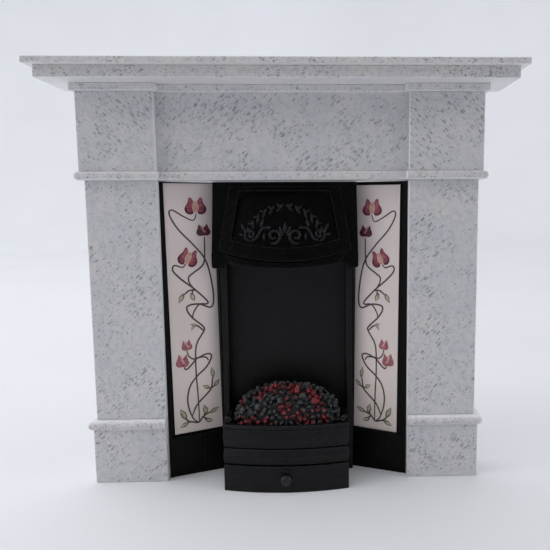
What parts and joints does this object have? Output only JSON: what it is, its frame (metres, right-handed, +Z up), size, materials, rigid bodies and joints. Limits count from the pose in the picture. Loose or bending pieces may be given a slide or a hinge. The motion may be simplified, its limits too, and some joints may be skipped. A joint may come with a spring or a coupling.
{
  "type": "doll's house fireplace",
  "caption": "Miniature mantel surround with a splayed tiled insert, bowed hood, and a bow-fronted fire basket with a sliding ash pan and lift-out coals.",
  "frame": {"origin": "on the floor, at the middle of the flat back, so the wall is the plane y = 0", "axes": "+Z up, +X to the right of someone facing the fireplace, -Y out into the room"},
  "size_m": [0.06, 0.0103, 0.0542],
  "materials": {
    "stone_effect": "white-grey stone-effect plastic with small dark grey flecks, printed in fine diagonal lines",
    "black_plastic": "satin black plastic with fine print lines, standing in for cast iron",
    "tile_print": "smooth printed card in pinkish cream with a stylised flower pattern",
    "coals": "rough black lumps painted red in the hollows"
  },
  "bodies": {
    "mantel": {"mantel_shelf": "stone_effect", "cornice_slab": "stone_effect", "bed_mould": "stone_effect", "frieze_panel": "stone_effect", "frieze_block_left": "stone_effect", "frieze_block_right": "stone_effect", "necking_mould": "stone_effect", "jamb_left": "stone_effect", "jamb_right": "stone_effect", "plinth_mould_left": "stone_effect", "plinth_mould_right": "stone_effect", "plinth_left": "stone_effect", "plinth_right": "stone_effect", "fireback": "black_plastic", "cheek_left": "black_plastic", "cheek_right": "black_plastic", "tile_panel_left": "tile_print", "tile_panel_right": "tile_print", "opening_stile_left": "black_plastic", "opening_stile_right": "black_plastic", "hood_plate": "black_plastic", "hood_canopy": "black_plastic", "hood_ornament": "black_plastic"},
    "fire_basket": {"basket_body": "black_plastic", "basket_mid_bar": "black_plastic", "basket_top_bar": "black_plastic", "basket_finials": "black_plastic"},
    "ash_pan": {"ash_pan": "black_plastic", "ash_pan_knob": "black_plastic"},
    "coals": {"coal_bed": "coals"}
  },
  "joints": [
    {"name": "basket_slide", "type": "slide", "parent": "mantel", "child": "fire_basket", "axis": [0, -1, 0], "range_m": [0, 0.009]},
    {"name": "ash_pan_slide", "type": "slide", "parent": "fire_basket", "child": "ash_pan", "axis": [0, -1, 0], "range_m": [0, 0.0055]},
    {"name": "coal_lift", "type": "slide", "parent": "fire_basket", "child": "coals", "axis": [0, 0, 1], "range_m": [0, 0.009]}
  ]
}
